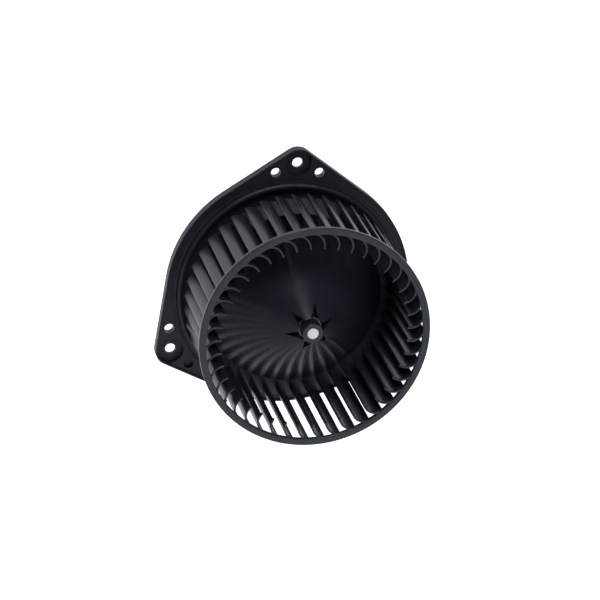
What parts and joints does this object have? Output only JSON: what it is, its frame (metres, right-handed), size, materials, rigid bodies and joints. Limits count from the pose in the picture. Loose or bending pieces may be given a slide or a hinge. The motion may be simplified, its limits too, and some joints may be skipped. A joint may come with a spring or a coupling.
{
  "type": "heater blower motor and wheel",
  "caption": "Heater blower: black squirrel-cage fan wheel on the shaft of a brushed DC motor held in a three-eared mounting flange.",
  "frame": {"origin": "centre of the three-hole bolt circle, in the plane where the ears are clamped", "axes": "-Y along the shaft towards the wheel's open end, +Y towards the motor's connector, +Z towards one of the three ears"},
  "size_m": [0.1706, 0.1368, 0.1779],
  "materials": {
    "wheel_plastic": "satin black moulded polypropylene",
    "flange_plastic": "fine-grained black moulded polypropylene",
    "cap_plastic": "satin black moulded plastic",
    "rubber": "soft matte black",
    "plated_steel": "zinc plated, faint drawing marks",
    "screw_steel": "zinc plated fasteners",
    "shaft_steel": "ground bright steel",
    "spring_steel": "spring steel",
    "bronze": "oil-filled sintered bronze",
    "brass": "folded brass sheet",
    "copper": "enamelled copper wire and bare bars",
    "lamination": "stacked electrical steel",
    "ferrite": "matte grey-black ferrite",
    "carbon": "pressed carbon",
    "insulator": "phenolic board"
  },
  "bodies": {
    "housing": {"mounting_flange": "flange_plastic", "motor_cup": "flange_plastic", "flange_seal": "rubber", "front_isolator": "rubber", "mount_plate": "plated_steel", "vibration_grommets": "rubber", "motor_screws": "screw_steel", "rear_cap": "cap_plastic", "cap_screws": "screw_steel", "cooling_duct": "cap_plastic", "motor_can": "plated_steel", "end_plate": "plated_steel", "front_bush": "bronze", "rear_bush": "bronze", "front_bush_retainer": "spring_steel", "rear_bush_retainer": "spring_steel", "upper_magnet": "ferrite", "lower_magnet": "ferrite", "magnet_clips": "spring_steel", "brush_board": "insulator", "right_brush_holder": "brass", "left_brush_holder": "brass", "right_brush_spring": "spring_steel", "left_brush_spring": "spring_steel", "suppression_chokes": "copper", "terminals": "brass"},
    "rotor": {"wheel_hub": "wheel_plastic", "wheel_blades": "wheel_plastic", "wheel_rim": "wheel_plastic", "hub_clip": "spring_steel", "balance_clip": "spring_steel", "shaft": "shaft_steel", "armature_core": "lamination", "front_insulator": "insulator", "rear_insulator": "insulator", "armature_winding": "copper", "commutator_bars": "copper", "commutator_hub": "insulator", "thrust_washers": "spring_steel"},
    "right_brush_body": {"right_brush": "carbon"},
    "left_brush_body": {"left_brush": "carbon"}
  },
  "joints": [
    {"name": "fan_spin", "type": "hinge", "parent": "housing", "child": "rotor", "pos_m": [0, 0, 0], "axis": [0, -1, 0], "continuous": true},
    {"name": "right_brush_travel", "type": "slide", "parent": "housing", "child": "right_brush_body", "axis": [1, 0, 0], "range_m": [0, 0.0024], "stiffness_N_per_m": 180, "springref_m": -0.004, "deforming": ["right_brush_spring"]},
    {"name": "left_brush_travel", "type": "slide", "parent": "housing", "child": "left_brush_body", "axis": [-1, 0, 0], "range_m": [0, 0.0024], "stiffness_N_per_m": 180, "springref_m": -0.004, "deforming": ["left_brush_spring"]}
  ]
}
